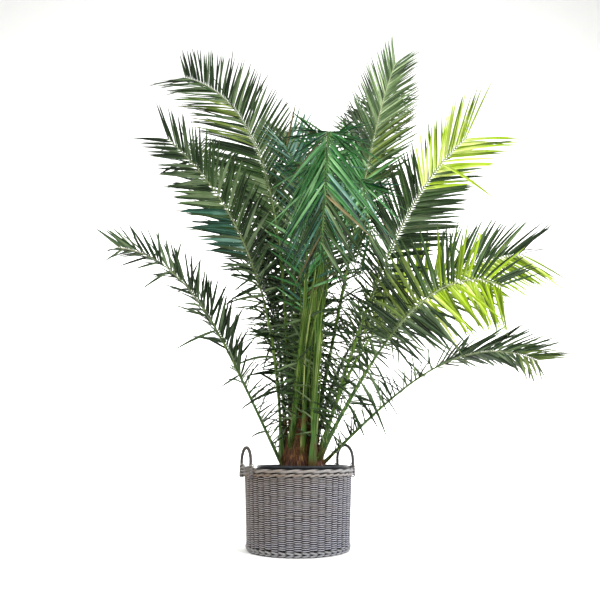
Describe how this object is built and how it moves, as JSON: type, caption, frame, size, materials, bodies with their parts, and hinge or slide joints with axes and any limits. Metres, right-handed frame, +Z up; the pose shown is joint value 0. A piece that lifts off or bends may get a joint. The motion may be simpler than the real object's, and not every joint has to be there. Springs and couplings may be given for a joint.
{
  "type": "potted canary island date palm",
  "caption": "Young feather-leaved date palm with a full arching crown, standing in a round woven basket planter with a hoop handle on each side.",
  "frame": {"origin": "centre of the basket's flat underside, on the floor it stands on", "axes": "+Z up the trunk; +Y away from the viewer of the front; +X to that viewer's right; the two hoop handles lie near the left and right, turned 26 degrees towards the back and front"},
  "size_m": [2.3493, 1.9551, 2.8319],
  "materials": {
    "weathered_rattan": "matte",
    "wrapped_rattan": "matte",
    "black_pot_plastic": "matte",
    "potting_soil": "rough",
    "palm_fibre": "rough",
    "palm_leaf": "satin",
    "fresh_palm_leaf": "satin"
  },
  "bodies": {
    "root": {"basket": "weathered_rattan", "frond_back_left": "palm_leaf", "frond_back_low": "palm_leaf", "frond_back_low_end": "palm_leaf", "frond_back_low_left": "palm_leaf", "frond_back_low_left_end": "palm_leaf", "frond_back_low_right": "palm_leaf", "frond_back_low_right_end": "palm_leaf", "frond_back_mid": "palm_leaf", "frond_back_right": "palm_leaf", "frond_centre_front": "palm_leaf", "frond_centre_front_end": "palm_leaf", "frond_centre_left": "palm_leaf", "frond_centre_left_end": "palm_leaf", "frond_front_left": "palm_leaf", "frond_front_left_end": "palm_leaf", "frond_front_right": "palm_leaf", "frond_front_right_end": "palm_leaf", "frond_left_low": "palm_leaf", "frond_left_low_end": "palm_leaf", "frond_left_outer": "palm_leaf", "frond_left_outer_end": "palm_leaf", "frond_left_top": "palm_leaf", "frond_left_top_end": "palm_leaf", "frond_right_front": "palm_leaf", "frond_right_front_end": "palm_leaf", "frond_right_low": "palm_leaf", "frond_right_low_end": "palm_leaf", "frond_right_mid": "palm_leaf", "frond_right_mid_end": "palm_leaf", "frond_right_top": "palm_leaf", "frond_right_upper": "palm_leaf", "handle_left": "wrapped_rattan", "handle_right": "wrapped_rattan", "inner_pot": "black_pot_plastic", "soil": "potting_soil", "spear_front": "fresh_palm_leaf", "spear_left": "fresh_palm_leaf", "spear_right": "fresh_palm_leaf", "trunk": "palm_fibre"}
  },
  "joints": []
}
